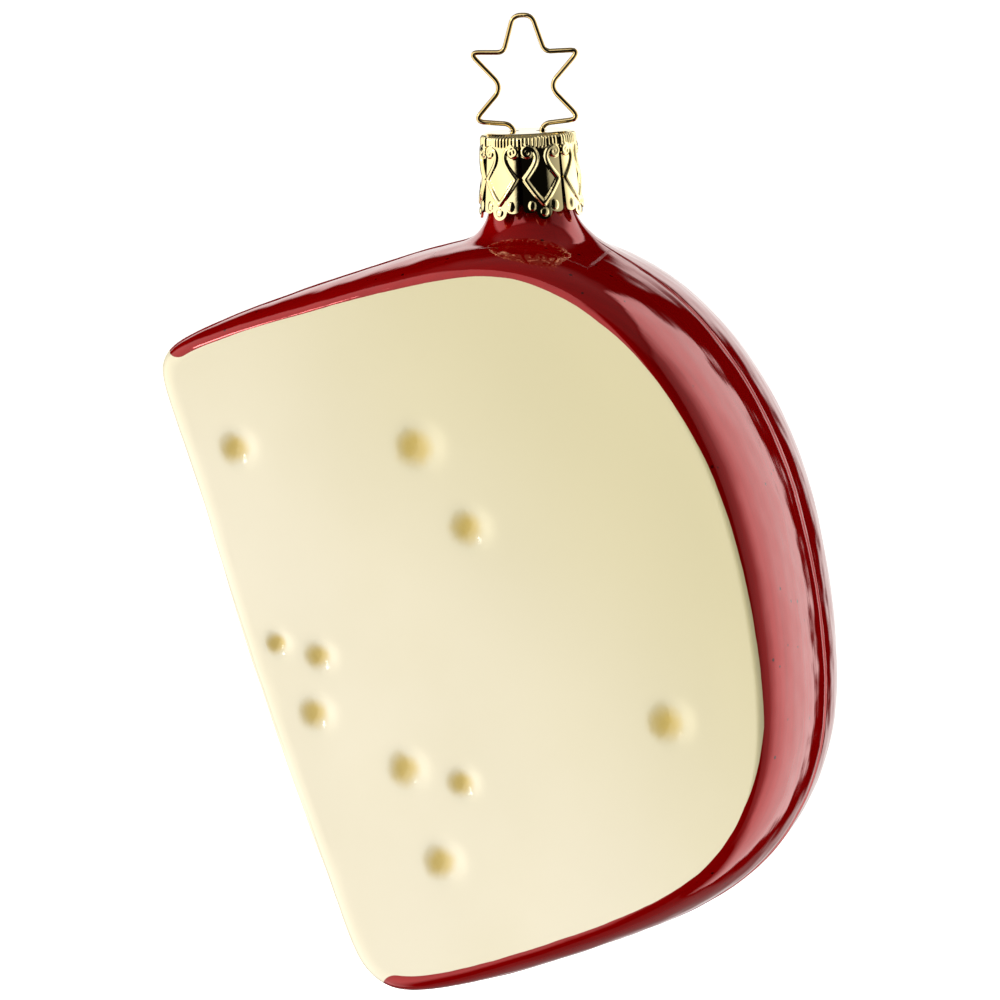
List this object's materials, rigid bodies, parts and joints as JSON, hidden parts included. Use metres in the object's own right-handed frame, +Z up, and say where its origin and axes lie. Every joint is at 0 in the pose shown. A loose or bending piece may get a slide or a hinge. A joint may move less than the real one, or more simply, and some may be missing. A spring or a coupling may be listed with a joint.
{
  "type": "hanging cheese wedge ornament",
  "caption": "Hollow blown-glass hanging ornament shaped as a wedge of red-waxed cheese, with a stamped metal cap on its neck and a star-shaped wire hanger.",
  "frame": {"origin": "hang point, inside the top bend of the wire star, on the axis of the neck", "axes": "+Z up along the neck's axis; XZ is the middle plane of the wedge, with its thin edge at -X and its rind at +X; the front cut face looks to -Y"},
  "size_m": [0.0804, 0.0366, 0.1181],
  "materials": {
    "painted_glass": "glossy deep red lacquer on the rind and neck, satin cream coating on the two cut faces and the thin edge, opaque",
    "cap_metal": "thin stamped sheet, bright pale gold, mirror gloss",
    "wire_metal": "drawn wire, gold colour, semi-gloss"
  },
  "bodies": {
    "root": {"glass_body": "painted_glass", "cap": "cap_metal", "hanger": "wire_metal"}
  },
  "joints": []
}
